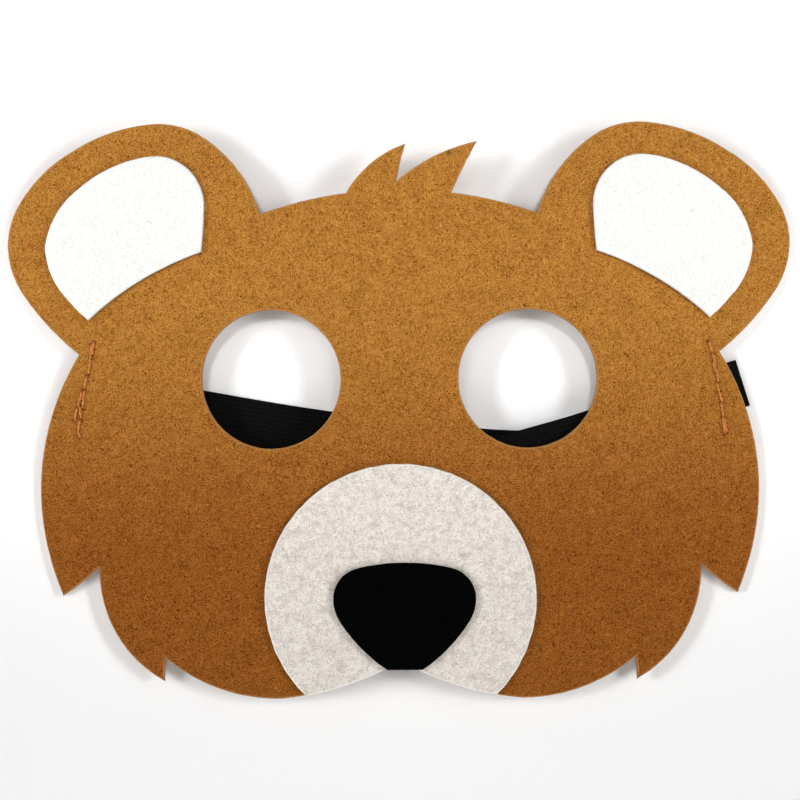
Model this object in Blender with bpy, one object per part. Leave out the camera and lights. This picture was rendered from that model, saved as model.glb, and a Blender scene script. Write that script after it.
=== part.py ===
"""Felt bear mask for the eyes, on a black elastic strap, lying face up with the strap behind it.

Units are metres. +X is to the right as the mask is looked at, +Y is up to the ears and +Z comes out
of its front. The origin is the middle of the mask's box in X and Y, on the surface it lies on.

The felt pieces are drawn flat, as they are cut, and then laid over the slight bow that the mask
keeps: its middle stands clear of the surface, and its ears and cheeks touch it.
"""
import math
from collections import namedtuple

import bmesh
import bpy
from mathutils import Matrix, Vector

# The face, as it is cut
FACE_HALF_WIDTH = 0.0984
FACE_HALF_HEIGHT = 0.0720
FELT_THICKNESS = 0.0020
TUFT_HALF_BASE = 0.0131
TUFT_RISE = 0.01275
CROWN_HEIGHT = 0.05435
EYE_DIAMETER = 0.0346
EYE_SPACING = 0.0639
EYE_HEIGHT = 0.0080

# The pieces glued on the face
PATCH_THICKNESS = 0.0014
EAR_PATCH_WIDTH = 0.0402
EAR_PATCH_HEIGHT = 0.0408
EAR_RIM_AT_SIDE = 0.0100
EAR_RIM_AT_TOP = 0.0082
MUZZLE_DIAMETER = 0.0673
MUZZLE_DROP = 0.0468
NOSE_HALF_WIDTH = 0.0176
NOSE_HEIGHT = 0.0267
NOSE_DROP = 0.0376
NOSE_OFFSET = 0.0010

# The elastic strap
STRAP_WIDTH = 0.0120
STRAP_THICKNESS = 0.0010

# How the mask lies, and the room between pieces that touch
BOW_HEIGHT = 0.0090
LAYER_GAP = 0.0003

# How finely curves are cut into straight stretches
OUTLINE_STEP = 0.0026
STRAP_STEP = 0.0035
BOW_STRIPS = 16
ROUND_SIDES = 40
FOLD_STEPS = 8

# Colours as they look, from 0 to 255
BROWN_FELT = (170, 109, 45)
WHITE_FELT = (251, 251, 247)
MUZZLE_FELT = (227, 218, 209)
BLACK_FELT = (6, 6, 6)
BLACK_ELASTIC = (11, 11, 9)

# A corner of an outline. Across and up are shares of the named sizes that the table follows. Bulge
# is the rise of the arc to the next corner over half its chord: above 0 it bows outwards.
Corner = namedtuple("Corner", "name across up bulge")

# The hair tuft, left to right: shares of TUFT_HALF_BASE and of TUFT_RISE above CROWN_HEIGHT
TUFT = (
    Corner("left root", -1.00, 0.00, 0.18),
    Corner("short tip", 0.134, 0.96, -0.04),
    Corner("valley", -0.04, 0.22, 0.13),
    Corner("long tip", 1.49, 1.00, -0.02),
    Corner("right root", 1.00, 0.00, 0.057),
)

# The right half of the face, top to bottom: shares of FACE_HALF_WIDTH and FACE_HALF_HEIGHT
HALF_FACE = (
    Corner("ear root", 0.351, 0.683, 0.190),
    Corner("ear rise", 0.509, 0.964, 0.140),
    Corner("ear top", 0.628, 0.998, 0.120),
    Corner("ear shoulder", 0.836, 0.901, 0.117),
    Corner("ear outer rise", 0.960, 0.743, 0.165),
    Corner("ear widest", 1.000, 0.569, 0.130),
    Corner("ear outer fall", 0.965, 0.418, 0.080),
    Corner("ear heel", 0.816, 0.200, 0.135),
    Corner("cheek widest", 0.918, -0.264, 0.105),
    Corner("cheek point", 0.861, -0.639, 0.050),
    Corner("cheek notch", 0.766, -0.538, 0.286),
    Corner("jaw point", 0.601, -0.935, 0.000),
    Corner("jaw step", 0.598, -0.854, 0.180),
    Corner("chin low", 0.305, -0.996, 0.105),
    Corner("chin cleft", 0.000, -0.864, 0.000),
)

# The right ear patch: shares of its width outwards and of its height upwards
EAR_PATCH = (
    Corner("inner foot", 0.020, 0.413, 0.020),
    Corner("inner side", 0.000, 0.699, 0.280),
    Corner("inner crown", 0.167, 0.968, 0.140),
    Corner("top", 0.330, 1.000, 0.150),
    Corner("shoulder", 0.792, 0.799, 0.205),
    Corner("outer side", 1.000, 0.446, 0.190),
    Corner("outer fall", 0.855, 0.123, 0.050),
    Corner("tip", 0.729, 0.000, -0.105),
)

# The right half of the nose, top to bottom: shares of NOSE_HALF_WIDTH and of NOSE_HEIGHT
HALF_NOSE = (
    Corner("top", 0.000, 0.000, 0.056),
    Corner("shoulder", 0.641, -0.049, 0.360),
    Corner("widest", 1.000, -0.340, 0.144),
    Corner("lower side", 0.901, -0.557, 0.070),
    Corner("lower corner", 0.453, -0.897, 0.030),
    Corner("foot", 0.246, -1.000, 0.000),
    Corner("foot middle", 0.000, -1.000, 0.000),
)

# A place on the strap's middle line: shares of FACE_HALF_WIDTH and FACE_HALF_HEIGHT, and how far
# it is lifted, from 0 on the surface to 1 against the felt's back
Station = namedtuple("Station", "name across up lift")

# From the left seam along the surface to the first fold
LEFT_RUN = (
    Station("left end", -0.840, 0.092, 1.0),
    Station("left seam", -0.801, 0.080, 1.0),
    Station("landing", -0.640, 0.029, 0.0),
    Station("left eye", -0.510, -0.008, 0.0),
    Station("left of nose", -0.171, -0.086, 0.0),
    Station("right eye", 0.212, -0.147, 0.0),
    Station("first fold", 0.427, -0.156, 0.0),
)

# Back from the first fold to the second
BACK_RUN = (
    Station("first fold", 0.427, -0.156, 0.5),
    Station("second fold", 0.071, -0.244, 0.5),
)

# From the second fold to the right seam
RIGHT_RUN = (
    Station("second fold", 0.071, -0.244, 0.9),
    Station("right eye", 0.321, -0.150, 0.9),
    Station("right of eye", 0.498, -0.081, 1.0),
    Station("right seam", 0.811, 0.060, 1.0),
    Station("right end", 0.880, 0.090, 1.0),
)


def scaled(corners, width, height, corner_at):
    """The rows of an outline table as (point, bulge) pairs at their real size."""
    left, base = corner_at
    return [(Vector((left + row.across * width, base + row.up * height)), row.bulge) for row in corners]


def arc_points(start, end, bulge):
    """Points along the arc from start, up to but without end."""
    if bulge == 0:
        return [start]
    chord = end - start
    sweep = 4 * math.atan(bulge)
    radius = chord.length / (2 * math.sin(sweep / 2))
    outwards = Vector((-chord.y, chord.x)).normalized()
    centre = (start + end) / 2 - outwards * radius * math.cos(sweep / 2)
    count = math.ceil(radius * sweep / OUTLINE_STEP)
    spoke = start - centre
    return [centre + Matrix.Rotation(-sweep * step / count, 2) @ spoke for step in range(count)]


def drawn(rows):
    """An open line through (point, bulge) pairs, its last point included."""
    points = []
    for (start, bulge), (end, _) in zip(rows, rows[1:]):
        points += arc_points(start, end, bulge)
    return points + [rows[-1][0]]


def mirrored(points):
    """The same line on the left, walked the other way, without its two ends."""
    return [Vector((-point.x, point.y)) for point in reversed(points[1:-1])]


def circle(centre, diameter):
    turns = [2 * math.pi * side / ROUND_SIDES for side in range(ROUND_SIDES)]
    return [centre + Vector((math.cos(turn), math.sin(turn))) * diameter / 2 for turn in turns]


def face_outline():
    tuft = scaled(TUFT, TUFT_HALF_BASE, TUFT_RISE, (0, CROWN_HEIGHT))
    half = scaled(HALF_FACE, FACE_HALF_WIDTH, FACE_HALF_HEIGHT, (0, 0))
    right = drawn([tuft[-1]] + half)
    return drawn(tuft)[:-1] + right + mirrored(right)


def ear_patch_outline(side):
    """An ear patch, on the right for side 1 and on the left for side -1."""
    inner = FACE_HALF_WIDTH - EAR_RIM_AT_SIDE - EAR_PATCH_WIDTH
    base = FACE_HALF_HEIGHT - EAR_RIM_AT_TOP - EAR_PATCH_HEIGHT
    rows = scaled(EAR_PATCH, EAR_PATCH_WIDTH, EAR_PATCH_HEIGHT, (inner, base))
    points = drawn(rows + rows[:1])[:-1]
    return [Vector((side * point.x, point.y)) for point in points]


def nose_outline():
    right = drawn(scaled(HALF_NOSE, NOSE_HALF_WIDTH, NOSE_HEIGHT, (0, -NOSE_DROP)))
    return [point + Vector((NOSE_OFFSET, 0)) for point in right + mirrored(right)]


def eye_holes():
    return [circle(Vector((side * EYE_SPACING / 2, EYE_HEIGHT)), EYE_DIAMETER) for side in (-1, 1)]


# The bow: the felt lies over a wide cylinder, which leans so that ears and cheeks both touch down
BOW_RADIUS = (FACE_HALF_WIDTH ** 2 + BOW_HEIGHT ** 2) / (2 * BOW_HEIGHT)


def sag(across):
    return BOW_RADIUS * (1 - math.cos(across / BOW_RADIUS))


def bow_lean():
    rows = {row.name: row for row in HALF_FACE}
    ear = rows["ear widest"]
    cheek = rows["cheek widest"]
    drop = sag(ear.across * FACE_HALF_WIDTH) - sag(cheek.across * FACE_HALF_WIDTH)
    return math.atan2(drop, (ear.up - cheek.up) * FACE_HALF_HEIGHT)


LEAN = Matrix.Rotation(bow_lean(), 3, "X")


def leaned(across, up, height):
    """A place on the flat cut, at a height over the felt's back, bent over the leaning cylinder."""
    turn = across / BOW_RADIUS
    reach = BOW_RADIUS + height
    return LEAN @ Vector((reach * math.sin(turn), up, reach * math.cos(turn) - BOW_RADIUS))


def seat():
    """The shift that sets the bowed face on the surface, with its box centred on the origin."""
    edge = [leaned(point.x, point.y, height) for point in face_outline() for height in (0, FELT_THICKNESS)]
    middle = (min(point.y for point in edge) + max(point.y for point in edge)) / 2
    return Vector((0, -middle, -min(point.z for point in edge)))


SEAT = seat()


def bowed(across, up, height):
    return leaned(across, up, height) + SEAT


def fill_outline(outline, holes):
    """A flat mesh inside an outline, without its holes."""
    mesh = bmesh.new()
    for loop in [outline] + holes:
        corners = [mesh.verts.new((point.x, point.y, 0)) for point in loop]
        for corner, following in zip(corners, corners[1:] + corners[:1]):
            mesh.edges.new((corner, following))
    bmesh.ops.triangle_fill(mesh, use_beauty=True, edges=mesh.edges[:])
    return mesh


def cut_in_strips(mesh):
    """Cut a flat mesh into strips along Y, each one face, so that it bends without slivers."""
    edge = FACE_HALF_WIDTH
    lines = [edge * (2 * strip / BOW_STRIPS - 1) for strip in range(1, BOW_STRIPS)]
    for line in lines:
        everything = mesh.verts[:] + mesh.edges[:] + mesh.faces[:]
        bmesh.ops.bisect_plane(mesh, geom=everything, plane_co=(line, 0, 0), plane_no=(1, 0, 0))
    for low, high in zip([-math.inf] + lines, lines + [math.inf]):
        strip = [face for face in mesh.faces if low < face.calc_center_median().x < high]
        bmesh.ops.dissolve_faces(mesh, faces=strip)
    spare = [corner for corner in mesh.verts if len(corner.link_edges) == 2 and not corner.is_boundary]
    bmesh.ops.dissolve_verts(mesh, verts=spare)


def trim_round(mesh, centre, diameter):
    """Cut away what lies outside a circle."""
    for corner in circle(Vector((0, 0)), diameter):
        outwards = (corner.x, corner.y, 0)
        on_rim = (centre.x + corner.x, centre.y + corner.y, 0)
        everything = mesh.verts[:] + mesh.edges[:] + mesh.faces[:]
        bmesh.ops.bisect_plane(
            mesh, geom=everything, plane_co=on_rim, plane_no=outwards, clear_outer=True
        )


def finish_piece(name, mesh, material):
    bmesh.ops.triangulate(mesh, faces=mesh.faces[:])
    bmesh.ops.recalc_face_normals(mesh, faces=mesh.faces[:])
    data = bpy.data.meshes.new(name)
    mesh.to_mesh(data)
    mesh.free()
    data.materials.append(material)
    piece = bpy.data.objects.new(name, data)
    bpy.context.collection.objects.link(piece)


def felt_piece(name, mesh, base, thickness, material):
    """Give a flat cut its thickness, from a base height over the face's back, and bow it."""
    cut_in_strips(mesh)
    bmesh.ops.triangulate(mesh, faces=mesh.faces[:])
    front = bmesh.ops.extrude_face_region(mesh, geom=mesh.faces[:], use_keep_orig=True)
    raised = [item for item in front["geom"] if isinstance(item, bmesh.types.BMVert)]
    bmesh.ops.translate(mesh, verts=raised, vec=(0, 0, thickness))
    for corner in mesh.verts:
        corner.co = bowed(corner.co.x, corner.co.y, base + corner.co.z)
    finish_piece(name, mesh, material)


def smooth_line(stations, step):
    """Places (across, up, slope, lift) along a smooth curve through a run's stations."""
    knots = [Vector((row.across * FACE_HALF_WIDTH, row.up * FACE_HALF_HEIGHT)) for row in stations]
    ends = [2 * knots[0] - knots[1]] + knots + [2 * knots[-1] - knots[-2]]
    places = []
    for index, (row, following) in enumerate(zip(stations, stations[1:])):
        before, start, end, after = ends[index:index + 4]
        leave = (end - before) / 2
        arrive = (after - start) / 2
        count = math.ceil((end - start).length / step)
        last = 1 if following is stations[-1] else 0
        for part in range(count + last):
            t = part / count
            place = (
                start * (2 * t ** 3 - 3 * t ** 2 + 1) + leave * (t ** 3 - 2 * t ** 2 + t)
                + end * (3 * t ** 2 - 2 * t ** 3) + arrive * (t ** 3 - t ** 2)
            )
            along = (
                start * (6 * t ** 2 - 6 * t) + leave * (3 * t ** 2 - 4 * t + 1)
                + end * (6 * t - 6 * t ** 2) + arrive * (3 * t ** 2 - 2 * t)
            )
            ease = 3 * t ** 2 - 2 * t ** 3
            lift = row.lift + (following.lift - row.lift) * ease
            places.append((place, math.atan(along.y / along.x), lift))
    return places


def strap_edge(place, lift):
    """A point on the strap's middle layer, under the felt and over the surface."""
    point = bowed(place.x, place.y, 0)
    lowest = STRAP_THICKNESS / 2
    highest = max(lowest, point.z - LAYER_GAP - STRAP_THICKNESS / 2)
    point.z = lowest + (highest - lowest) * lift
    return point


def fold(last, first, way):
    """Places round a fold, from the last place of one run to the first of the next."""
    place, slope, lift = last
    _, next_slope, next_lift = first
    rise = strap_edge(place, next_lift).z - strap_edge(place, lift).z
    places = []
    for step in range(1, FOLD_STEPS):
        turn = math.pi * step / FOLD_STEPS
        share = (1 - math.cos(turn)) / 2
        angle = slope + (next_slope - slope) * share
        out = Vector((math.cos(angle), math.sin(angle))) * way * rise / 2 * math.sin(turn)
        places.append((place + out, angle, lift + (next_lift - lift) * share))
    return places


def strap_places():
    left = smooth_line(LEFT_RUN, STRAP_STEP)
    back = smooth_line(BACK_RUN, STRAP_STEP)
    right = smooth_line(RIGHT_RUN, STRAP_STEP)
    first_fold = fold(left[-1], back[0], 1)
    second_fold = fold(back[-1], right[0], -1)
    return left + first_fold + back + second_fold + right


def strap_sections():
    """The strap's middle layer as pairs of points on its upper and lower edge."""
    sections = []
    for place, slope, lift in strap_places():
        sideways = Vector((-math.sin(slope), math.cos(slope))) * STRAP_WIDTH / 2
        sections.append((strap_edge(place + sideways, lift), strap_edge(place - sideways, lift)))
    return sections


def strap_piece(material):
    sections = strap_sections()
    middles = [(upper + lower) / 2 for upper, lower in sections]
    mesh = bmesh.new()
    rings = []
    for index, (upper, lower) in enumerate(sections):
        ahead = middles[min(index + 1, len(middles) - 1)]
        behind = middles[max(index - 1, 0)]
        outwards = (lower - upper).cross(ahead - behind).normalized() * STRAP_THICKNESS / 2
        corners = (upper - outwards, lower - outwards, lower + outwards, upper + outwards)
        rings.append([mesh.verts.new(corner) for corner in corners])
    for ring, following in zip(rings, rings[1:]):
        for side in range(4):
            other = (side + 1) % 4
            mesh.faces.new((ring[side], ring[other], following[other], following[side]))
    mesh.faces.new(rings[0])
    mesh.faces.new(rings[-1])
    finish_piece("strap", mesh, material)


def linear(level):
    share = level / 255
    return share / 12.92 if share <= 0.04045 else ((share + 0.055) / 1.055) ** 2.4


def cloth_material(name, colour, roughness):
    material = bpy.data.materials.new(name)
    material.use_nodes = True
    shader = material.node_tree.nodes["Principled BSDF"]
    shader.inputs["Base Color"].default_value = (*[linear(level) for level in colour], 1)
    shader.inputs["Roughness"].default_value = roughness
    shader.inputs["Metallic"].default_value = 0
    return material


def face():
    mesh = fill_outline(face_outline(), eye_holes())
    felt_piece("face", mesh, 0, FELT_THICKNESS, cloth_material("felt_brown", BROWN_FELT, 0.95))


def ear_patches():
    base = FELT_THICKNESS + LAYER_GAP
    white = cloth_material("felt_white", WHITE_FELT, 0.95)
    for name, side in (("ear_patch_left", -1), ("ear_patch_right", 1)):
        felt_piece(name, fill_outline(ear_patch_outline(side), []), base, PATCH_THICKNESS, white)


def muzzle():
    """A disc that the face's own lower edge cuts off."""
    mesh = fill_outline(face_outline(), [])
    trim_round(mesh, Vector((0, -MUZZLE_DROP)), MUZZLE_DIAMETER)
    base = FELT_THICKNESS + LAYER_GAP
    felt_piece("muzzle", mesh, base, PATCH_THICKNESS, cloth_material("felt_muzzle", MUZZLE_FELT, 0.95))


def nose():
    base = FELT_THICKNESS + PATCH_THICKNESS + 2 * LAYER_GAP
    mesh = fill_outline(nose_outline(), [])
    felt_piece("nose", mesh, base, PATCH_THICKNESS, cloth_material("felt_black", BLACK_FELT, 0.95))


def strap():
    strap_piece(cloth_material("elastic_black", BLACK_ELASTIC, 0.7))


for leftover in list(bpy.data.objects):
    bpy.data.objects.remove(leftover)
face()
ear_patches()
muzzle()
nose()
strap()
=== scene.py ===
"""The looks of the felt bear mask: needled felt with its loose fibres, a woven elastic folded behind
it, and the two seams of orange-brown thread that hold the elastic.

Lengths are in metres where nothing else is said. Inside a finish, places and the sizes of patterns are
in millimetres.
"""
import math
from collections import namedtuple

import bmesh
import bpy
import numpy as np
from mathutils import Matrix, Vector, noise
from mathutils.bvhtree import BVHTree


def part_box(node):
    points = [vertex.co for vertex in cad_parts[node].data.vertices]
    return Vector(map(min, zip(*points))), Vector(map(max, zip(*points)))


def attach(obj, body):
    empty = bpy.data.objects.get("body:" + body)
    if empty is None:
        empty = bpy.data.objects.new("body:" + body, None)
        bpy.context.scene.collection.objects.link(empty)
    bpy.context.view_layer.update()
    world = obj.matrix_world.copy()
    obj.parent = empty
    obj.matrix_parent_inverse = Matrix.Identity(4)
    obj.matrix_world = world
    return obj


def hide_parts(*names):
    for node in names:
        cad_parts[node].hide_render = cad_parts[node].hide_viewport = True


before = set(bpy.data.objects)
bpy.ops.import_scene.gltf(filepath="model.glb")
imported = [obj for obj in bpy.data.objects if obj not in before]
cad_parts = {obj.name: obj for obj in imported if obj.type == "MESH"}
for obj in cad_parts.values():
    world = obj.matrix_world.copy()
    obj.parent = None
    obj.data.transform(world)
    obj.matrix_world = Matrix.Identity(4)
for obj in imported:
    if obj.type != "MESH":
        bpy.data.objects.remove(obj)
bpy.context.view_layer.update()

MM = 0.001

# The photograph's frame: where the mask's middle lies in it, its scale and how far it is turned
PHOTO_SIDE_PX = 800
PHOTO_MIDDLE_PX = (399.6, 410.5)
PIXEL = 0.25 * MM
PHOTO_TURN = math.radians(0.3)

# The camera: how far it is above the height at which the photograph's scale holds
CAMERA_HEIGHT = 1.0
FOCUS_HEIGHT = 0.006
SENSOR_WIDTH_MM = 36

# Two narrow lights from above: each lights its own half of the mask, from its own side and the ears
GRID_LIGHT_HEIGHT = 1.1
GRID_LIGHT_SIZE = (0.5, 0.5)
GRID_LIGHT_SPREAD = math.radians(7.5)
GRID_LIGHT_SLANT = (0.17, 0.24)
GRID_LIGHT_FOOT = -0.006
GRID_LIGHT_POWER = 0.27

# Two soft boxes at the sides: each is aimed beside the mask, on its own side
SIDE_BOX_PLACE = (1.04, 0.08, 0.76)
SIDE_BOX_SIZE = (0.62, 0.8)
SIDE_BOX_SPREAD = math.radians(30)
SIDE_BOX_AIM = 0.30
SIDE_BOX_POWER = 1.0

# A soft box at the chin's side, and the sky
FOOT_BOX_PLACE = (0, -0.8, 0.72)
FOOT_BOX_SIZE = (0.5, 0.5)
FOOT_BOX_POWER = 3.4
SKY_COLOUR = (1.0, 0.99, 0.98, 1)
SKY_STRENGTH = 0.10

# The floor, which lies just under the mask
FLOOR_SIZE = 6
FLOOR_DROP = 0.02 * MM
FLOOR_GRAIN_MM = 60
FLOOR_DARK = (0.93, 0.93, 0.93, 1)
FLOOR_LIGHT = (0.95, 0.95, 0.95, 1)

# How level a CAD face must be to count as a front or back: the height of its normal. How sharp an
# edge of the CAD must be to count as one of a cut, and how near corners must be to be the same.
FLAT_ENOUGH = 0.7
CUT_ANGLE = math.radians(60)
MERGE_DISTANCE = 0.001 * MM

# The felt's cut edge: its fine steps, its rounding, its bulge halfway down and its unevenness
RIM_STEP = 0.7 * MM
RIM_ROUNDING = 0.45 * MM
RIM_BULGE = 0.03 * MM
RIM_START = 0.01 * MM
RIM_ROUGHNESS = 0.07 * MM
ROUGHNESS_LENGTH = 1.1 * MM
CORNER_TURN = math.radians(35)
CORNER_ROOM = 0.7
ROUNDING_ANGLES = [math.radians(angle) for angle in (0, 32, 62, 90)]

# The felt's faces: how finely they are divided, and their waves
GRID_STEP = 3.0 * MM
WAVE_LENGTH = 22 * MM
WAVE_HEIGHT = 0.16 * MM

# The seams: the table's columns are pixels of the photograph, from needle hole to needle hole
Stitch = namedtuple("Stitch", "from_x from_y to_x to_y")
LEFT_SEAM = (
    Stitch(93.6, 342.0, 91.6, 355.0),
    Stitch(91.2, 344.5, 89.6, 358.5),
    Stitch(90.4, 357.5, 87.6, 374.5),
    Stitch(86.4, 376.5, 83.2, 388.5),
    Stitch(81.6, 391.5, 76.8, 406.5),
    Stitch(84.2, 390.5, 81.6, 408.5),
    Stitch(76.4, 408.0, 73.8, 420.5),
    Stitch(79.2, 406.0, 80.2, 418.5),
    Stitch(79.6, 420.0, 77.2, 431.5),
    Stitch(77.0, 430.0, 79.2, 437.5),
)
RIGHT_SEAM = (
    Stitch(709.8, 341.0, 712.4, 352.5),
    Stitch(713.0, 353.5, 715.6, 363.0),
    Stitch(714.4, 361.5, 715.4, 371.5),
    Stitch(716.6, 367.5, 718.8, 381.5),
    Stitch(717.6, 382.5, 719.2, 391.5),
    Stitch(720.0, 391.5, 722.8, 402.0),
    Stitch(722.0, 402.5, 723.6, 416.5),
    Stitch(723.2, 418.0, 725.6, 433.5),
    Stitch(724.6, 417.5, 727.6, 432.5),
)

# How many stitches a seam has on the back, and how deep the ends of stitches go into the felt
BACK_STITCHES = 9
FRONT_BURY = 0.4 * MM
BACK_BURY = 0.25 * MM

# How far above or below the mask the rays start that find its surface
RAY_START = 0.05

# How a seam and its needle holes dent the felt, and how finely the felt is divided round them
PINCH_WIDTH = 1.1 * MM
PINCH_DEPTH = 0.32 * MM
HOLE_WIDTH = 0.42 * MM
HOLE_DEPTH = 0.5 * MM
SEAM_GRID = 0.4 * MM
SEAM_MARGIN = 3.0 * MM
SEAM_REACH = 3 * SEAM_MARGIN

# The thread: two six-sided plies, which lie this share of their radius off its middle line. How high
# a stitch stands and arches, and how steeply it comes out of the felt.
PLY_RADIUS = 0.21 * MM
PLY_SIDES = 6
PLY_OFFSET = 0.9
TWIST_PITCH = 2.6 * MM
STITCH_STEPS = 22
STITCH_STAND = 1.2 * PLY_RADIUS
STITCH_ARCH = 0.16 * MM
STITCH_CLIMB = 7

# The elastic's weave: lengthwise ribs with slanting ticks, the thinner edges and the fine division
RIBS = 11
STEPS_TO_A_RIB = 3
EDGE_WIDTH = 0.04
EDGE_THICKNESS = 0.55
# How much of the ribs' painted highlight gives way to painted shade where the ticks dip
TICK_SHADE = 0.4
RIB_DEPTH = 0.16
TICK_PITCH = 0.9 * MM
TICK_DEPTH = 0.10
WEAVE_STEP = 0.24 * MM

# Painted shade: how much of its red, green and blue the brown felt keeps at its foot, where less
# light falls, and between which places in mm up the mask the painted shade deepens
PAINTED_FOOT_SHADE = (0.69, 0.52, 0.46, 1)
FALL_FROM = 32
FALL_TO = -42

# The felt's crossing fibres: how often in a millimetre and how far in mm they drift out of line, and
# how narrow their ridges are
DRIFT_SCALE = 0.45
DRIFT_REACH = 2.4
RIDGE_SHARPNESS = 14.0

# The felt's grain: how large its specks and clouds are in mm, and how much each part of it counts
SPECK_SIZE = 0.3
CLOUD_SIZE = 5.0
SPECK_TONE = 1.8
RIDGE_TONE = 1.3
RIDGE_MEAN = 0.38
CLOUD_TONE = 0.35
MOTTLE_START = 0.47
MOTTLE_CONTRAST = 5.0
# How strongly the cut edge takes its painted highlight
RIM_HIGHLIGHT_SHARE = 0.8

# The loose fibres: how many are on each piece, and the seed of their draw
FIBRES = {"face": (16000, 11), "muzzle": (3600, 12), "nose": (1000, 13)}
FIBRES_ON_AN_EAR = 1500
FIRST_EAR_SEED = 14

# The share of the fibres on the cut edge, the share of the others on the front, and the share of the
# others that are strays. A face with a normal less high than this is one of the cut edge.
OFF_THE_EDGE = 0.8
EDGE_SHARE = 0.22
FRONT_SHARE = 0.72
STRAY_SHARE = 0.06

# Least and most in mm: how long fibres are and how far they stand out
LENGTH_ON_EDGE = (0.5, 1.1)
LENGTH_ON_FACE = (1.0, 2.6)
STAND_ON_EDGE = (0.1, 0.42)
STAND_ON_FACE = (0.02, 0.07)
STAND_OF_STRAYS = (0.15, 0.4)

# How far fibres bend, as a share of their length, where they begin under the surface, and their radius
FIBRE_SWAY = 0.16
FIBRE_ROOT = -0.03 * MM
FIBRE_RADIUS = 0.024 * MM


def shade(red, green, blue):
    """A colour as it looks, from 0 to 255, as the numbers that a shader takes."""
    shares = [level / 255 for level in (red, green, blue)]
    return tuple(s / 12.92 if s <= 0.04045 else ((s + 0.055) / 1.055) ** 2.4 for s in shares) + (1.0,)


def photo_place(pixel_x, pixel_y):
    """Where a pixel of the photograph lies on the mask, in metres."""
    right = (pixel_x - PHOTO_MIDDLE_PX[0]) * PIXEL
    up = (PHOTO_MIDDLE_PX[1] - pixel_y) * PIXEL
    cosine = math.cos(PHOTO_TURN)
    sine = math.sin(PHOTO_TURN)
    return Vector((right * cosine + up * sine, up * cosine - right * sine))


class Value:
    """A socket of a finish. Sums, products and comparisons with it add Math nodes."""

    def __init__(self, finish, socket):
        self.finish = finish
        self.socket = socket

    def math(self, operation, *others):
        values = {index: value for index, value in enumerate((self,) + others)}
        return self.finish.node("ShaderNodeMath", {"operation": operation}, values)

    def __add__(self, other):
        return self.math("ADD", other)

    def __mul__(self, other):
        return self.math("MULTIPLY", other)

    def __sub__(self, other):
        return self.math("SUBTRACT", other)

    def __rsub__(self, other):
        return (self * -1).math("ADD", other)

    def __abs__(self):
        return self.math("ABSOLUTE")

    def at_least(self, other):
        return self.math("MAXIMUM", other)

    def at_most(self, other):
        return self.math("MINIMUM", other)

    def within_one(self):
        return self.at_least(0).at_most(1)


class Finish:
    """A material, with one method for any node and one for each kind of mixing."""

    def __init__(self, name):
        self.material = bpy.data.materials.new(name)
        self.material.use_nodes = True
        self.tree = self.material.node_tree
        self.shader = self.tree.nodes["Principled BSDF"]
        place = self.node("ShaderNodeTexCoord", {}, {}, "Object")
        self.place = self.node("ShaderNodeVectorMath", {"operation": "SCALE"}, {0: place, "Scale": 1 / MM})

    def node(self, kind, settings, sockets, output=0):
        made = self.tree.nodes.new(kind)
        for name, setting in settings.items():
            setattr(made, name, setting)
        for name, value in sockets.items():
            self.plug(made.inputs[name], value)
        return Value(self, made.outputs[output])

    def plug(self, socket, value):
        if isinstance(value, Value):
            self.tree.links.new(value.socket, socket)
        else:
            socket.default_value = value

    def set(self, **sockets):
        for name, value in sockets.items():
            self.plug(self.shader.inputs[name.replace("_", " ")], value)

    def mix(self, share, first, second):
        return self.node("ShaderNodeMix", {"data_type": "RGBA"}, {0: share, 6: first, 7: second}, 2)

    def noise(self, place, size, detail=2.0, roughness=0.5):
        """Clouds of about this size in millimetres, from 0 to 1."""
        sockets = {"Vector": place, "Scale": 1 / size, "Detail": detail, "Roughness": roughness}
        return self.node("ShaderNodeTexNoise", {}, sockets, "Fac")

    def moved(self, place, offset):
        return self.node("ShaderNodeVectorMath", {"operation": "ADD"}, {0: place, 1: offset})

    def attribute(self, name):
        return self.node("ShaderNodeAttribute", {"attribute_name": name}, {}, "Fac")

    def height_of(self, place):
        """The second coordinate of a place, which runs up the mask."""
        return self.node("ShaderNodeSeparateXYZ", {}, {0: place}, 1)

    def fall(self):
        """From 0 above the eyes to 1 at the jaw."""
        sockets = {"Value": self.height_of(self.place), "From Min": FALL_FROM, "From Max": FALL_TO}
        return self.node("ShaderNodeMapRange", {"interpolation_type": "SMOOTHSTEP"}, sockets, "Result")

    def with_painted_shade(self, colour, painted_foot_shade):
        """A colour with painted shade towards the foot of the mask, where less light falls."""
        foot = self.mix(self.fall(), (1, 1, 1, 1), painted_foot_shade)
        sockets = {0: 1.0, 6: colour, 7: foot}
        return self.node("ShaderNodeMix", {"data_type": "RGBA", "blend_type": "MULTIPLY"}, sockets, 2)

    def bump(self, height, strength, distance):
        """The normal of a relief whose full height is this distance in metres."""
        sockets = {"Height": height, "Strength": strength, "Distance": distance}
        return self.node("ShaderNodeBump", {}, sockets, "Normal")


# Directions of the felt's fibre layers in degrees, and how long and wide a fibre's ridge is, in mm
FibreLayer = namedtuple("FibreLayer", "angle length width")
FIBRE_LAYERS = (
    FibreLayer(12, 2.6, 0.36),
    FibreLayer(58, 2.0, 0.32),
    FibreLayer(101, 2.8, 0.36),
    FibreLayer(149, 2.2, 0.32),
)


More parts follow.
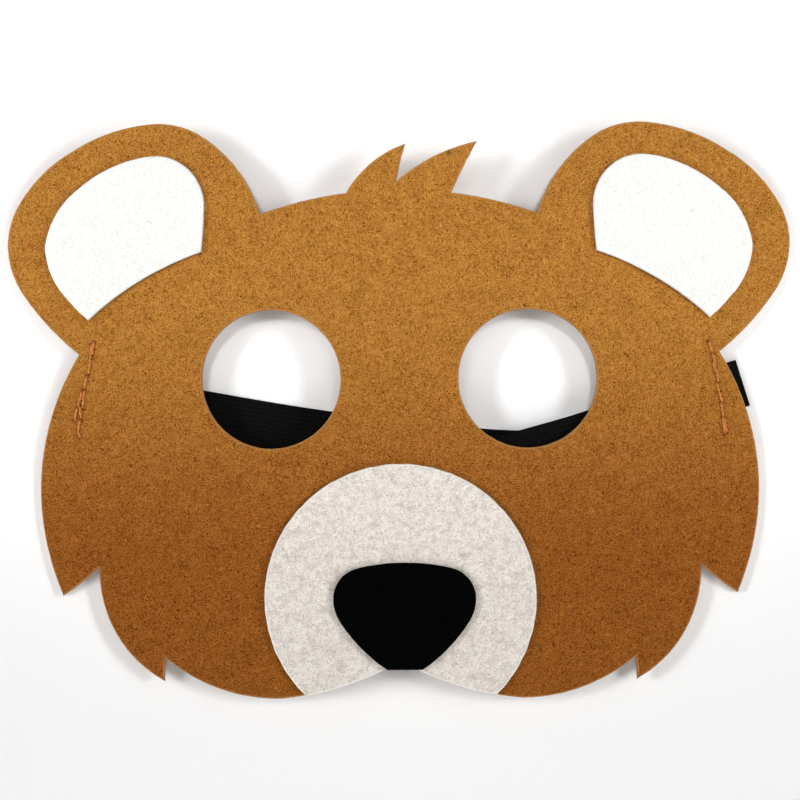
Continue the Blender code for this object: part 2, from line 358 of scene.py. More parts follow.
def matted_fibres(finish):
    """The ridges of crossing fibres on a felt's face, from 0 between them to 1 on them."""
    sockets = {"Vector": finish.place, "Scale": DRIFT_SCALE, "Detail": 1.0}
    drift = finish.node("ShaderNodeTexNoise", {}, sockets, "Color")
    sockets = {0: drift, 1: (DRIFT_REACH,) * 3, 2: finish.place}
    bent = finish.node("ShaderNodeVectorMath", {"operation": "MULTIPLY_ADD"}, sockets)
    ridges = None
    for layer in FIBRE_LAYERS:
        turned = finish.node("ShaderNodeMapping", {"vector_type": "TEXTURE"}, {
            "Vector": bent,
            "Location": (layer.angle, layer.angle / 2, 0),
            "Rotation": (0, 0, math.radians(layer.angle)),
            "Scale": (layer.length, layer.width, layer.width),
        })
        field = finish.noise(turned, 1, 1.0)
        ridge = (1 - abs(field - 0.5) * RIDGE_SHARPNESS).at_least(0)
        ridges = ridge if ridges is None else ridges.at_least(ridge)
    return ridges


def felt_finish(name, dark, base, light, depth, sheen, mottle=None, painted_foot_shade=None, painted_hole_shade=None,
                painted_rim_highlight=None):
    """Needled felt: fine specks and crossing fibres from dark to light round the base colour.

    depth is how strong the grain is. mottle is (colour, size in mm, share) for darker clouds.
    The last three give painted shade at the foot of the mask, as the share of its light that the foot
    keeps where less light falls; painted shade in the needle holes; and a painted highlight on the cut edge.
    """
    finish = Finish(name)
    ridges = matted_fibres(finish)
    specks = finish.noise(finish.place, SPECK_SIZE, 2.0, 0.6)
    clouds = finish.noise(finish.moved(finish.place, (40, 7, 3)), CLOUD_SIZE, 3.0, 0.6)
    tone = (specks - 0.5) * SPECK_TONE * depth + (ridges - RIDGE_MEAN) * RIDGE_TONE * depth
    tone = tone + (clouds - 0.5) * CLOUD_TONE * depth
    colour = finish.mix((tone * -1).within_one(), base, dark)
    colour = finish.mix(tone.within_one(), colour, light)
    if mottle:
        patch, size, share = mottle
        blots = finish.noise(finish.moved(finish.place, (11, 23, 5)), size, 3.0, 0.62)
        blots = (blots - MOTTLE_START) * MOTTLE_CONTRAST * share
        colour = finish.mix(blots.within_one(), colour, patch)
    # Painted shade, darker towards the foot of the mask where less light falls
    if painted_foot_shade:
        colour = finish.with_painted_shade(colour, painted_foot_shade)
    # Painted highlight on the cut edge
    if painted_rim_highlight:
        colour = finish.mix((finish.attribute("rim") * RIM_HIGHLIGHT_SHARE).within_one(), colour, painted_rim_highlight)
    # Painted shade in the needle holes of the seams
    if painted_hole_shade:
        colour = finish.mix(finish.attribute("pinch_and_hole_shade").within_one(), colour, painted_hole_shade)
    finish.set(Base_Color=colour, Roughness=0.96)
    relief = ridges * 0.6 + specks * 0.8 + clouds * 1.5
    finish.set(Normal=finish.bump(relief, 0.35 + 0.15 * depth, 0.16 * MM))
    finish.shader.inputs["Specular IOR Level"].default_value = sheen * 0.5
    finish.shader.inputs["Sheen Weight"].default_value = sheen
    finish.shader.inputs["Sheen Roughness"].default_value = 0.6
    return finish.material


def fibre_finish(name, dark, light, painted_foot_shade=None):
    """The loose fibres of a felt, each between dark and light."""
    finish = Finish(name)
    colour = finish.mix(finish.attribute("tint"), dark, light)
    # Painted shade, darker towards the foot of the mask where less light falls
    if painted_foot_shade:
        colour = finish.with_painted_shade(colour, painted_foot_shade)
    finish.set(Base_Color=colour, Roughness=0.8)
    finish.shader.inputs["Specular IOR Level"].default_value = 0.2
    return finish.material


def elastic_finish():
    """Black polyester over rubber, with a painted highlight on the crests of its ribs and painted shade in
    the gaps between them and where the ticks dip.
    """
    finish = Finish("woven_elastic")
    fuzz = finish.noise(finish.place, 0.25, 2.0, 0.6)
    rib = finish.attribute("rib")
    # Painted highlight on the ribs' crests, painted shade in the gaps
    tone = rib * rib * 1.1 + (fuzz - 0.55) * 0.9
    colour = finish.mix(tone.within_one(), shade(0, 0, 0), shade(46, 46, 44))
    finish.set(Base_Color=colour, Roughness=0.62)
    finish.set(Normal=finish.bump(fuzz, 0.4, 0.08 * MM))
    finish.shader.inputs["Specular IOR Level"].default_value = 0.06
    return finish.material


def thread_finish():
    """Twisted orange-brown cotton, with a painted highlight on the crests of its plies and painted shade at
    their sides.
    """
    finish = Finish("seam_thread")
    fuzz = finish.noise(finish.place, 0.28, 2.0, 0.6)
    # Painted highlight on the plies' crests, painted shade at their sides
    tone = finish.attribute("crest") * 1.1 - 0.1 + (fuzz - 0.5) * 2.0
    colour = finish.mix(tone.within_one(), shade(120, 46, 4), shade(240, 162, 84))
    finish.set(Base_Color=colour, Roughness=0.75)
    finish.set(Normal=finish.bump(fuzz, 0.5, 0.06 * MM))
    finish.shader.inputs["Specular IOR Level"].default_value = 0.12
    return finish.material


def floor_finish():
    finish = Finish("pale_floor")
    grain = finish.noise(finish.place, FLOOR_GRAIN_MM, 2.0)
    finish.set(Base_Color=finish.mix(grain, FLOOR_DARK, FLOOR_LIGHT), Roughness=0.9)
    return finish.material


def merged(node):
    """A CAD node's mesh as a closed bmesh."""
    mesh = bmesh.new()
    mesh.from_mesh(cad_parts[node].data)
    bmesh.ops.remove_doubles(mesh, verts=mesh.verts[:], dist=MERGE_DISTANCE)
    mesh.normal_update()
    return mesh


class Bow:
    """The smooth front of a felt node, fitted through its CAD corners, and the felt's thickness."""

    def __init__(self, mesh):
        front = {v.index: v.co for face in mesh.faces if face.normal.z > FLAT_ENOUGH for v in face.verts}
        back = {v.index: v.co for face in mesh.faces if face.normal.z < -FLAT_ENOUGH for v in face.verts}
        self.terms = self.fit(front.values())
        middle = sum(front.values(), Vector()) / len(front)
        drop = self.height(middle.x, middle.y) - self.row(middle.x, middle.y) @ self.fit(back.values())
        self.thickness = float(drop) * self.normal(middle.x, middle.y).z

    @staticmethod
    def row(x, y):
        return np.array((1, x, y, x * x, x ** 4))

    def fit(self, points):
        rows = np.array([self.row(point.x, point.y) for point in points])
        return np.linalg.lstsq(rows, np.array([point.z for point in points]), rcond=None)[0]

    def height(self, x, y):
        return float(self.row(x, y) @ self.terms)

    def normal(self, x, y):
        _, along, up, square, fourth = self.terms
        return Vector((-along - 2 * square * x - 4 * fourth * x ** 3, -up, 1)).normalized()

    def place(self, x, y, depth):
        """The point a depth under the front, at right angles to it."""
        return Vector((x, y, self.height(x, y))) - self.normal(x, y) * depth


def rim_loops(mesh):
    """The edges of a felt node's front as loops of places, with the felt on their left."""
    following = {}
    for edge in mesh.edges:
        if edge.calc_face_angle(0) < CUT_ANGLE:
            continue
        for loop in edge.link_loops:
            if loop.face.normal.z > FLAT_ENOUGH:
                following[loop.vert] = loop.link_loop_next.vert
    loops = []
    while following:
        corner, beyond = following.popitem()
        loop = [corner.co.xy]
        while beyond in following:
            loop.append(beyond.co.xy)
            beyond = following.pop(beyond)
        loops.append(loop)
    return loops


def turn_at(before, here, after):
    """The angle by which a line turns left at a point, for turns up to a right angle."""
    arriving = here - before
    leaving = after - here
    return math.asin(max(-1, min(1, arriving.cross(leaving) / (leaving.length * arriving.length))))


def smoothed_rim(loop):
    """A loop in fine steps, rounded but for its sharp corners, as (place, how far a corner turns)."""
    count = len(loop)
    turns = [turn_at(loop[i - 1], loop[i], loop[(i + 1) % count]) for i in range(count)]
    sharp = [abs(turn) > CORNER_TURN for turn in turns]
    fine = []
    for index in range(count):
        before, start = loop[index - 1], loop[index]
        end, after = loop[(index + 1) % count], loop[(index + 2) % count]
        leave = (end - start) if sharp[index] else (end - before) / 2
        arrive = (end - start) if sharp[(index + 1) % count] else (after - start) / 2
        steps = max(1, round((end - start).length / RIM_STEP))
        for step in range(steps):
            t = step / steps
            place = (
                start * (2 * t ** 3 - 3 * t ** 2 + 1) + leave * (t ** 3 - 2 * t ** 2 + t)
                + end * (3 * t ** 2 - 2 * t ** 3) + arrive * (t ** 3 - t ** 2)
            )
            fine.append((place, turns[index] if sharp[index] and step == 0 else 0))
    return fine


def rim_insets(fine):
    """For each place of a rim, the way into the felt and how much of the rounding fits there."""
    count = len(fine)
    lengths = [(fine[(i + 1) % count][0] - fine[i][0]).length for i in range(count)]
    shares = [1.0] * count
    for corner, (_, turn) in enumerate(fine):
        if turn <= 0:
            continue
        slope = math.tan((math.pi - turn) / 2) * CORNER_ROOM
        for way in (1, -1):
            distance = 0
            index = corner
            while distance * slope < RIM_ROUNDING:
                shares[index] = min(shares[index], distance * slope / RIM_ROUNDING)
                distance += lengths[index if way == 1 else index - 1]
                index = (index + way) % count
    inwards = []
    for index in range(count):
        along = fine[(index + 1) % count][0] - fine[index - 1][0]
        inwards.append(Vector((-along.y, along.x)).normalized())
    return inwards, shares


def edge_profile(thickness):
    """The rounded cut edge from back to front, as (inset, depth under the front)."""
    lower = [
        (RIM_ROUNDING * (1 - math.sin(angle)), thickness - RIM_ROUNDING * (1 - math.cos(angle)))
        for angle in ROUNDING_ANGLES
    ]
    upper = [(inset, thickness - depth) for inset, depth in reversed(lower)]
    return lower + [(-RIM_BULGE, thickness / 2)] + upper


def seam_lines(table):
    """A seam's stitches as pairs of places on the mask."""
    return [(photo_place(row.from_x, row.from_y), photo_place(row.to_x, row.to_y)) for row in table]


SEAMS = (seam_lines(LEFT_SEAM), seam_lines(RIGHT_SEAM))


def distance_to_line(place, start, end):
    along = end - start
    share = max(0, min(1, (place - start).dot(along) / along.length_squared))
    return (place - start - along * share).length


def seam_pull(place):
    """How deep a seam pulls the felt in at a place, and how much of a needle hole is there."""
    for seam in SEAMS:
        if abs(place.x - seam[0][0].x) > SEAM_REACH:
            continue
        near = min(distance_to_line(place, start, end) for start, end in seam)
        hole = min(min((place - start).length, (place - end).length) for start, end in seam)
        pinch_and_hole_shade = math.exp(-(near / PINCH_WIDTH) ** 2)
        prick = math.exp(-(hole / HOLE_WIDTH) ** 2)
        return pinch_and_hole_shade * PINCH_DEPTH + prick * HOLE_DEPTH, prick
    return 0, 0


def wave(place):
    """How far the felt's slight unevenness lifts a place."""
    return noise.noise(Vector((place.x / WAVE_LENGTH, place.y / WAVE_LENGTH, 0.3))) * WAVE_HEIGHT


def grid_lines(low, high, step):
    """Lines between two limits, evenly spaced and about a step apart."""
    count = math.floor((high - low) / step)
    return [low + (high - low) * (line + 1) / (count + 1) for line in range(count)]


ACROSS = Vector((1, 0, 0))
UPWARDS = Vector((0, 1, 0))

# What marks the faces of a felt's back and front while its mesh is made
BACK_TAG = 1
FRONT_TAG = 2


def cut_across(mesh, faces, normal, lines):
    """Cut faces along lines at right angles to a direction."""
    for line in lines:
        parts = set(faces())
        for face in list(parts):
            parts.update(face.edges)
            parts.update(face.verts)
        bmesh.ops.bisect_plane(mesh, geom=list(parts), plane_co=normal * line, plane_no=normal)


def cut_edge(mesh, loop, thickness):
    """Add the corners of one cut edge, as rings from back to front."""
    fine = smoothed_rim(loop)
    inwards, shares = rim_insets(fine)
    rough = [
        noise.noise(Vector((*place / ROUGHNESS_LENGTH, 0))) * RIM_ROUGHNESS for place, _ in fine
    ]
    rings = []
    for inset, depth in edge_profile(thickness):
        ring = []
        for (place, _), inwards_here, share, uneven in zip(fine, inwards, shares, rough):
            spot = place + inwards_here * (inset * share + uneven * share)
            ring.append(mesh.verts.new((spot.x, spot.y, depth)))
        rings.append(ring)
    return rings


def fill_cut_edge(mesh, rings):
    for low, high in zip(rings, rings[1:]):
        for index in range(len(low)):
            after = (index + 1) % len(low)
            mesh.faces.new((low[index], low[after], high[after], high[index]))


def divide_round_seam(mesh, seam):
    """Cut the front finely round a seam, so that its dents have corners to move."""
    places = [place for line in seam for place in line]
    left = min(place.x for place in places) - SEAM_MARGIN
    right = max(place.x for place in places) + SEAM_MARGIN
    bottom = min(place.y for place in places) - SEAM_MARGIN
    top = max(place.y for place in places) + SEAM_MARGIN

    def near_seam():
        return [face for face in mesh.faces if face.material_index == FRONT_TAG
                and left < face.calc_center_median().x < right
                and bottom < face.calc_center_median().y < top]

    cut_across(mesh, near_seam, ACROSS, grid_lines(left, right, SEAM_GRID))
    cut_across(mesh, near_seam, UPWARDS, grid_lines(bottom, top, SEAM_GRID))


def felt_mesh(node, seamed):
    """A felt node as a fine closed sheet in flat coordinates: x, y and the depth under its front."""
    source = merged(node)
    bow = Bow(source)
    mesh = bmesh.new()
    cut_edges = [cut_edge(mesh, loop, bow.thickness) for loop in rim_loops(source)]
    for rings in cut_edges:
        fill_cut_edge(mesh, rings)
    for layer, tag in ((0, BACK_TAG), (-1, FRONT_TAG)):
        border = []
        for rings in cut_edges:
            corners = rings[layer]
            border += [mesh.edges.get((a, b)) for a, b in zip(corners, corners[1:] + corners[:1])]
        filled = bmesh.ops.triangle_fill(mesh, use_beauty=True, edges=border)
        for item in filled["geom"]:
            if isinstance(item, bmesh.types.BMFace):
                item.material_index = tag
    low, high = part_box(node)
    strips = grid_lines(low[0], high[0], GRID_STEP)
    cut_across(mesh, lambda: mesh.faces, ACROSS, strips)
    for tag in (BACK_TAG, FRONT_TAG):
        for left, right in zip([-math.inf] + strips, strips + [math.inf]):
            strip = [face for face in mesh.faces
                     if face.material_index == tag and left < face.calc_center_median().x < right]
            bmesh.ops.dissolve_faces(mesh, faces=strip)
    spare = [corner for corner in mesh.verts if len(corner.link_edges) == 2]
    bmesh.ops.dissolve_verts(mesh, verts=spare)
    cut_across(mesh, lambda: mesh.faces, UPWARDS, grid_lines(low[1], high[1], GRID_STEP))
    if seamed:
        for seam in SEAMS:
            divide_round_seam(mesh, seam)
    bmesh.ops.triangulate(mesh, faces=[face for face in mesh.faces if len(face.verts) > 4])
    source.free()
    return mesh, bow


def felt_piece(name, node, material, seamed=False):
    mesh, bow = felt_mesh(node, seamed)
    pinch_and_hole_shade = mesh.verts.layers.float.new("pinch_and_hole_shade")
    rim = mesh.verts.layers.float.new("rim")
    for corner in mesh.verts:
        place = corner.co.xy
        depth = corner.co.z
        pull, prick = seam_pull(place) if seamed else (0, 0)
        on_front = 1 - depth / bow.thickness
        # How much painted shade each corner gets from a needle hole
        corner[pinch_and_hole_shade] = prick * on_front
        # Which corners lie on the cut edge, for its painted highlight
        corner[rim] = float(RIM_START < depth < bow.thickness - RIM_START)
        corner.co = bow.place(place.x, place.y, depth + pull * on_front - wave(place))
    for face in mesh.faces:
        face.material_index = 0
        face.smooth = True
    bmesh.ops.recalc_face_normals(mesh, faces=mesh.faces[:])
    piece = finished(name, mesh, material)
    outline = rim_loops(merged(node))
    area = sum(sum(a.cross(b) for a, b in zip(loop, loop[1:] + loop[:1])) / 2 for loop in outline)
    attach(piece, "root")
    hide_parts(node)
    return piece


def finished(name, mesh, material):
    """A piece from a bmesh, which is freed."""
    data = bpy.data.meshes.new(name)
    mesh.to_mesh(data)
    mesh.free()
    return placed(name, data, material)


def placed(name, data, material):
    data.materials.append(material)
    piece = bpy.data.objects.new(name, data)
    bpy.context.collection.objects.link(piece)
    return piece


def from_arrays(name, corners, faces, material):
    """A mesh from arrays of corners and of faces with equally many corners each."""
    data = bpy.data.meshes.new(name)
    sides = faces.shape[1]
    data.vertices.add(len(corners))
    data.vertices.foreach_set("co", corners.astype(np.float32).ravel())
    data.loops.add(faces.size)
    data.loops.foreach_set("vertex_index", faces.astype(np.int32).ravel())
    data.polygons.add(len(faces))
    data.polygons.foreach_set("loop_start", np.arange(0, faces.size, sides, dtype=np.int32))
    data.polygons.foreach_set("use_smooth", np.full(len(faces), True))
    data.update(calc_edges=True)
    data.validate()
    return placed(name, data, material)


def add_attribute(piece, name, values):
    """Give each corner of a piece a number that its finish can read."""
    layer = piece.data.attributes.new(name, "FLOAT", "POINT")
    layer.data.foreach_set("value", np.asarray(values, dtype=np.float32))


def scattered(piece, count, rng):
    """Random places on a felt piece, the way out at each and whether it is on the cut edge."""
    data = piece.data
    data.calc_loop_triangles()
    corners = np.empty(len(data.vertices) * 3)
    data.vertices.foreach_get("co", corners)
    corners = corners.reshape(-1, 3)
    triangles = np.empty(len(data.loop_triangles) * 3, dtype=np.int32)
    data.loop_triangles.foreach_get("vertices", triangles)
    a, b, c = (corners[triangles.reshape(-1, 3)[:, side]] for side in range(3))
    normals = np.cross(b - a, c - a)
    areas = np.linalg.norm(normals, axis=1)
    normals /= areas[:, None]
    front = normals[:, 2] > OFF_THE_EDGE
    back = normals[:, 2] < -OFF_THE_EDGE
    edge = ~front & ~back
    weights = np.where(front, FRONT_SHARE * (1 - EDGE_SHARE), 0) * areas / areas[front].sum()
    weights += np.where(back, (1 - FRONT_SHARE) * (1 - EDGE_SHARE), 0) * areas / areas[back].sum()
    weights += np.where(edge, EDGE_SHARE, 0) * areas / areas[edge].sum()
    chosen = rng.choice(len(areas), size=count, p=weights / weights.sum())
    u, v = rng.random(count), rng.random(count)
    over = u + v > 1
    u[over], v[over] = 1 - u[over], 1 - v[over]
    roots = a[chosen] + (b - a)[chosen] * u[:, None] + (c - a)[chosen] * v[:, None]
    return roots, normals[chosen], edge[chosen]


def loose_fibres(name, piece, count, material, seed):
    """Short curved fibres on a felt piece: most lie on its faces, some stand out of its cut edge."""
    rng = np.random.default_rng(seed)
    roots, out, on_edge = scattered(piece, count, rng)
    spin = rng.normal(size=(count, 3))
    along = np.cross(out, spin)
    along /= np.linalg.norm(along, axis=1)[:, None]
    aside = np.cross(out, along)
    length = np.where(on_edge, rng.uniform(*LENGTH_ON_EDGE, count), rng.uniform(*LENGTH_ON_FACE, count)) * MM
    stand = np.where(on_edge, rng.uniform(*STAND_ON_EDGE, count), rng.uniform(*STAND_ON_FACE, count)) * MM
    stray = ~on_edge & (rng.random(count) < STRAY_SHARE)
    stand = np.where(stray, rng.uniform(*STAND_OF_STRAYS, count) * MM, stand)
    sway = rng.normal(0, FIBRE_SWAY, count) * length
    tip = np.where(on_edge | stray, stand * 1.5, FIBRE_ROOT)
    stations = []
    for station, rise in enumerate((np.full(count, FIBRE_ROOT), stand * 0.8, stand, tip)):
        t = station / 3
        bend = (t * (1 - t) * 4 * sway)[:, None]
        reach = (length * (t - 0.4))[:, None]
        stations.append(roots + along * reach + aside * bend + out * rise[:, None])
    ring = []
    for station in (1, 2):
        for side in range(3):
            angle = 2 * math.pi * side / 3
            offset = aside * math.cos(angle) + out * math.sin(angle)
            ring.append(stations[station] + offset * FIBRE_RADIUS)
    points = np.stack([stations[0]] + ring + [stations[3]], axis=1)
    pattern = []
    for side in range(3):
        after = (side + 1) % 3
        pattern.append((0, 1 + after, 1 + side))
        pattern.append((1 + side, 1 + after, 4 + after))
        pattern.append((1 + side, 4 + after, 4 + side))
        pattern.append((7, 4 + side, 4 + after))
    faces = (np.array(pattern)[None] + (np.arange(count) * 8)[:, None, None]).reshape(-1, 3)
    fibres = from_arrays(name, points.reshape(-1, 3), faces, material)
    add_attribute(fibres, "tint", np.repeat(rng.random(count), 8))
    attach(fibres, "root")
    return fibres


def strap_rings():
    """The strap's cross-sections in order from its left end: upper and lower edge, front and back."""
    mesh = merged("strap")
    along = {}
    for edge in mesh.edges:
        if edge.calc_face_angle(0) > CUT_ANGLE:
            for corner in edge.verts:
                along.setdefault(corner, []).append(edge.other_vert(corner))
    end = sorted((corner for corner in along if len(along[corner]) > 2), key=lambda corner: corner.co.x)[:4]
    end.sort(key=lambda corner: corner.co.y)
    lower = sorted(end[:2], key=lambda corner: corner.co.z)
    upper = sorted(end[2:], key=lambda corner: corner.co.z)
    ring = [upper[0], lower[0], lower[1], upper[1]]
    seen = set(ring)
    rings = [[corner.co.copy() for corner in ring]]
    while True:
        ahead = [[other for other in along[corner] if other not in seen] for corner in ring]
        if not all(ahead):
            return rings
        ring = [
            min(others, key=lambda other: (other.co - corner.co).length)
            for corner, others in zip(ring, ahead)
        ]
        seen.update(ring)
        rings.append([corner.co.copy() for corner in ring])


def strap_profile():
    """Round the woven strap once: places across and through it, and how near each is to a crest."""
    rows = []
    steps = RIBS * STEPS_TO_A_RIB
    for way in (1, -1):
        for step in range(steps + 1):
            across = (step / steps - 0.5) * way * -1
            gap = abs(math.cos(math.pi * RIBS * (across + 0.5)))
            edge = min(1, (0.5 - abs(across)) / EDGE_WIDTH)
            fullness = EDGE_THICKNESS + (1 - EDGE_THICKNESS) * math.sqrt(edge)
            through = (0.5 - RIB_DEPTH * gap * edge) * fullness
            rows.append((across, through * way, 1 - gap))
    return rows


def woven_strap(material):
    """The elastic along the CAD strap's middle line, with its ribs and ticks."""
    rings = strap_rings()
    middles = [sum(ring, Vector()) / 4 for ring in rings]
    reach = [0]
    for behind, ahead in zip(middles, middles[1:]):
        reach.append(reach[-1] + (ahead - behind).length)
    profile = strap_profile()
    count = round(reach[-1] / WEAVE_STEP)
    corners = []
    crests = []
    for station in range(count + 1):
        length = reach[-1] * station / count
        index = min(len(reach) - 2, int(np.searchsorted(reach, length, side="right")) - 1)
        share = (length - reach[index]) / (reach[index + 1] - reach[index])
        ring = [near.lerp(far, share) for near, far in zip(rings[index], rings[index + 1])]
        upper_back, lower_back, lower_front, upper_front = ring
        middle = sum(ring, Vector()) / 4
        width = (upper_back + upper_front - lower_back - lower_front) / 2
        depth = (upper_front + lower_front - upper_back - lower_back) / 2
        for across, through, crest in profile:
            rib = math.floor((across + 0.5) * RIBS)
            slant = 0.5 if rib % 2 else -0.5
            phase = length / TICK_PITCH + slant * ((across + 0.5) * RIBS - rib)
            tick = math.sin(2 * math.pi * phase)
            swell = 1 - TICK_DEPTH * (0.5 - 0.5 * tick) * crest
            corners.append(middle + width * across + depth * through * swell)
            # Painted highlight on the ribs' crests, with painted shade where the ticks dip
            crests.append(crest * (1 - TICK_SHADE + TICK_SHADE * tick))
    around = len(profile)
    faces = []
    for station in range(count):
        first = station * around
        for side in range(around):
            after = (side + 1) % around
            faces.append((first + side, first + after, first + around + after, first + around + side))
    strap = from_arrays("elastic_strap", np.array(corners), np.array(faces), material)
    close_ends(strap)
    add_attribute(strap, "rib", crests)
    width = (rings[0][0] - rings[0][1]).length
    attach(strap, "root")
    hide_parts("strap")
    return strap


def close_ends(piece):
    """Fill the open ends of a tube."""
    mesh = bmesh.new()
    mesh.from_mesh(piece.data)
    bmesh.ops.holes_fill(mesh, edges=[edge for edge in mesh.edges if edge.is_boundary])
    bmesh.ops.recalc_face_normals(mesh, faces=mesh.faces[:])
    mesh.to_mesh(piece.data)
    mesh.free()


def twisted_thread(path, sideways):
    """Two plies twisted round a path in one upright plane: corners, faces and each corner's crest."""
    corners = []
    faces = []
    crests = []
    for ply in range(2):
        reach = 0
        first = len(corners)
        for index, point in enumerate(path):
            ahead = path[min(index + 1, len(path) - 1)]
            behind = path[max(index - 1, 0)]
            reach += (point - behind).length
            along = (ahead - behind).normalized()
            across = along.cross(sideways)
            angle = 2 * math.pi * reach / TWIST_PITCH + math.pi * ply
            twist = sideways * math.cos(angle) + across * math.sin(angle)
            middle = point + twist * PLY_RADIUS * PLY_OFFSET
            for side in range(PLY_SIDES):
                turn = 2 * math.pi * side / PLY_SIDES
                spoke = sideways * math.cos(turn) + across * math.sin(turn)
                corners.append(middle + spoke * PLY_RADIUS)
                # How near a corner is to its ply's crest, for the thread's painted highlight and shade
                crests.append(math.sin(turn) ** 2)
        for index in range(len(path) - 1):
            base = first + index * PLY_SIDES
            ahead = base + PLY_SIDES
            for side in range(PLY_SIDES):
                after = (side + 1) % PLY_SIDES
                faces.append((base + side, base + after, ahead + after, ahead + side))
        last = len(corners) - PLY_SIDES
        # Two faces with four corners close each end of the six-sided ply
        faces += [(first + 3, first + 2, first + 1, first), (first + 5, first + 4, first + 3, first)]
        faces += [(last, last + 1, last + 2, last + 3), (last, last + 3, last + 4, last + 5)]
    return corners, faces, crests


def stitch_path(start, end, surface, out, bury):
    """From inside the felt, over its surface in a low arch and back in."""
    path = []
    for step in range(STITCH_STEPS + 1):
        t = step / STITCH_STEPS
        place = start.lerp(end, t)
        ground = surface(place)
        climb = min(1, STITCH_CLIMB * t, STITCH_CLIMB * (1 - t))
        rise = (STITCH_STAND + STITCH_ARCH * math.sin(math.pi * t)) * climb - bury * (1 - climb)
        path.append(Vector((place.x, place.y, ground + out * rise)))
    return path


def seam(name, seam_rows, surface, out, bury, material):
    """A row of stitches as one piece."""
    corners = []
    faces = []
    crests = []
    for start, end in seam_rows:
        path = stitch_path(start, end, surface, out, bury)
        along = (end - start).normalized()
        more, sides, heights = twisted_thread(path, Vector((-along.y, along.x, 0)))
        crests += heights
        faces += [tuple(corner + len(corners) for corner in side) for side in sides]
        corners += more
    piece = from_arrays(name, np.array(corners), np.array(faces), material)
    add_attribute(piece, "crest", crests)
    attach(piece, "root")
    return piece


def surface_from(pieces, height, way):
    """What finds the height at which a line up or down first meets one of the pieces."""
    trees = [BVHTree.FromObject(piece, bpy.context.evaluated_depsgraph_get()) for piece in pieces]

    def surface(place):
        start = Vector((place.x, place.y, height))
        hits = [tree.ray_cast(start, Vector((0, 0, way)))[0] for tree in trees]
        return min((hit.z for hit in hits if hit), key=lambda z: abs(z - height))

    return surface


def seams(face, strap):
    """The stitches of both seams, on the front as in the photograph and evenly spaced on the back."""
    thread = thread_finish()
    front = surface_from([face], RAY_START, -1)
    back = surface_from([face, strap], -RAY_START, 1)
    for side, rows in zip(("left", "right"), SEAMS):
        seam("seam_front_" + side, rows, front, 1, FRONT_BURY, thread)
        first, last = rows[0][0], rows[-1][1]
        knots = [first.lerp(last, knot / BACK_STITCHES) for knot in range(BACK_STITCHES + 1)]
        seam("seam_back_" + side, list(zip(knots, knots[1:])), back, -1, BACK_BURY, thread)


def camera():
    """The photograph's camera, straight above the mask."""
    camera_data = bpy.data.cameras.new("camera")
    camera_data.sensor_width = SENSOR_WIDTH_MM
    camera_data.lens = SENSOR_WIDTH_MM * CAMERA_HEIGHT / (PHOTO_SIDE_PX * PIXEL)
    holder = bpy.data.objects.new("camera", camera_data)
    middle = photo_place(PHOTO_SIDE_PX / 2, PHOTO_SIDE_PX / 2)
    holder.location = (middle.x, middle.y, CAMERA_HEIGHT + FOCUS_HEIGHT)
    holder.rotation_euler = (0, 0, -PHOTO_TURN)
    bpy.context.collection.objects.link(holder)
    bpy.context.scene.camera = holder


def lights():
    """The lamps and the sky of a plain studio."""
    width, depth = GRID_LIGHT_SIZE
    sideways, forward = (slant * GRID_LIGHT_HEIGHT for slant in GRID_LIGHT_SLANT)
    for name, side in (("left", -1), ("right", 1)):
        aim = (side * width / 2, GRID_LIGHT_FOOT + depth / 2, 0)
        place = (aim[0] + side * sideways, aim[1] + forward, GRID_LIGHT_HEIGHT)
        lamp("grid_light_" + name, place, aim, GRID_LIGHT_SIZE, GRID_LIGHT_POWER, GRID_LIGHT_SPREAD)
        across, along, up = SIDE_BOX_PLACE
        place = (side * across, along, up)
        aim = (side * SIDE_BOX_AIM, 0, 0)
        lamp("side_box_" + name, place, aim, SIDE_BOX_SIZE, SIDE_BOX_POWER, SIDE_BOX_SPREAD)
    lamp("foot_box", FOOT_BOX_PLACE, (0, 0, 0), FOOT_BOX_SIZE, FOOT_BOX_POWER, math.pi)
    world = bpy.data.worlds.new("studio")
    world.use_nodes = True
    sky = world.node_tree.nodes["Background"]
    sky.inputs["Color"].default_value = SKY_COLOUR
    sky.inputs["Strength"].default_value = SKY_STRENGTH
    bpy.context.scene.world = world
    bpy.context.scene.view_settings.view_transform = "Standard"


def lamp(name, place, aim, size, power, spread):
    """A rectangular lamp that faces its aim, with its width level."""
    light = bpy.data.lights.new(name, "AREA")
    light.shape = "RECTANGLE"
    light.size, light.size_y = size
    light.spread = spread
    light.energy = power
    holder = bpy.data.objects.new(name, light)
    holder.location = place
    back = (Vector(place) - Vector(aim)).normalized()
    across = Vector((0, 1, 0)).cross(back).normalized()
    holder.rotation_euler = Matrix((across, back.cross(across), back)).transposed().to_euler()
    bpy.context.collection.objects.link(holder)


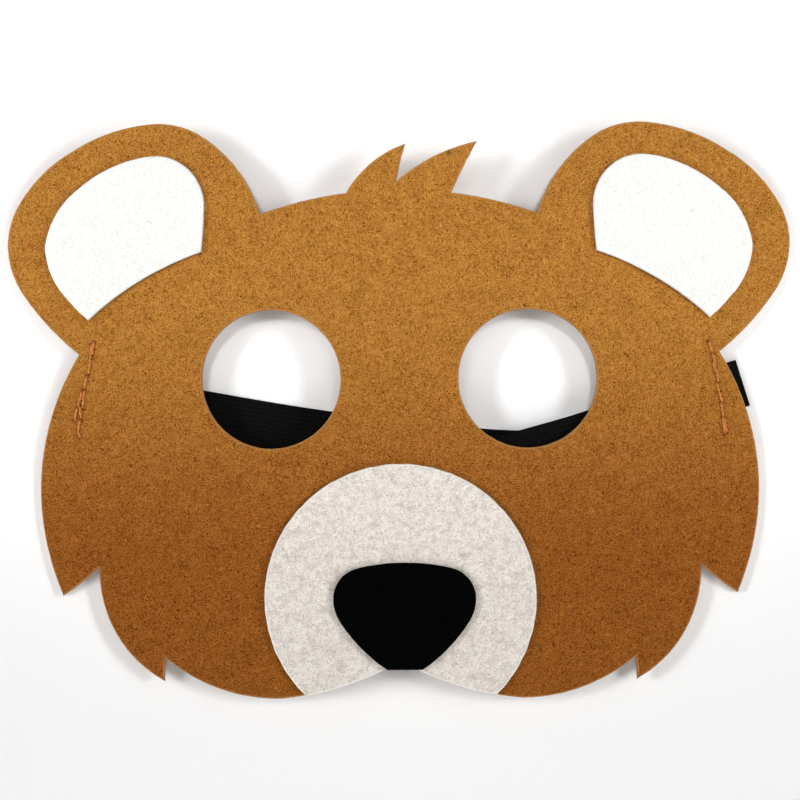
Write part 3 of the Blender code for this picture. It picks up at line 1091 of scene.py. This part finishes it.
def floor():
    """The pale surface that the mask lies on."""
    bpy.ops.object.select_all(action="DESELECT")
    bpy.ops.mesh.primitive_plane_add(size=FLOOR_SIZE, location=(0, 0, -FLOOR_DROP))
    bpy.ops.object.transform_apply(location=True)
    ground = bpy.context.object
    ground.name = "floor"
    ground.data.materials.append(floor_finish())


def felts():
    """The felt pieces and their loose fibres; the face is given back, for its seams."""
    # The brown felt: painted shade towards the foot and in the needle holes, and a painted highlight on the
    # cut edge
    brown = felt_finish("brown_felt", shade(96, 50, 7), shade(130, 74, 20), shade(200, 142, 64), 1.3, 0.03,
                        painted_foot_shade=PAINTED_FOOT_SHADE, painted_hole_shade=shade(72, 24, 3), painted_rim_highlight=shade(186, 136, 80))
    face = felt_piece("felt_face", "face", brown, seamed=True)
    white = felt_finish("white_felt", shade(200, 198, 194), shade(233, 233, 229), shade(251, 251, 248),
                        0.65, 0.1)
    # The muzzle felt, with a painted highlight on its cut edge
    muzzle_felt = felt_finish("muzzle_felt", shade(162, 151, 142), shade(221, 211, 201),
                              shade(252, 246, 238), 1.05, 0.05,
                              mottle=(shade(188, 177, 168), 2.0, 0.5), painted_rim_highlight=shade(255, 252, 243))
    black = felt_finish("black_felt", shade(0, 0, 0), shade(1, 1, 1), shade(9, 9, 9), 1.2, 0.005)
    ears = [felt_piece("felt_" + node, node, white)
            for node in ("ear_patch_left", "ear_patch_right")]
    muzzle = felt_piece("felt_muzzle", "muzzle", muzzle_felt)
    nose = felt_piece("felt_nose", "nose", black)
    # The brown fibres take the same painted shade towards the foot of the mask
    brown_hair = fibre_finish("brown_fibres", shade(130, 78, 22), shade(210, 150, 76), PAINTED_FOOT_SHADE)
    white_hair = fibre_finish("white_fibres", shade(205, 200, 196), shade(250, 250, 248))
    black_hair = fibre_finish("black_fibres", shade(1, 1, 1), shade(26, 26, 27))
    for name, piece, hair in (
        ("face", face, brown_hair), ("muzzle", muzzle, white_hair), ("nose", nose, black_hair)
    ):
        count, seed = FIBRES[name]
        loose_fibres("fibres_" + name, piece, count, hair, seed)
    for number, ear in enumerate(ears):
        name = "fibres_ear_" + str(number + 1)
        loose_fibres(name, ear, FIBRES_ON_AN_EAR, white_hair, FIRST_EAR_SEED + number)
    return face


floor()
camera()
lights()
face = felts()
strap = woven_strap(elastic_finish())
seams(face, strap)
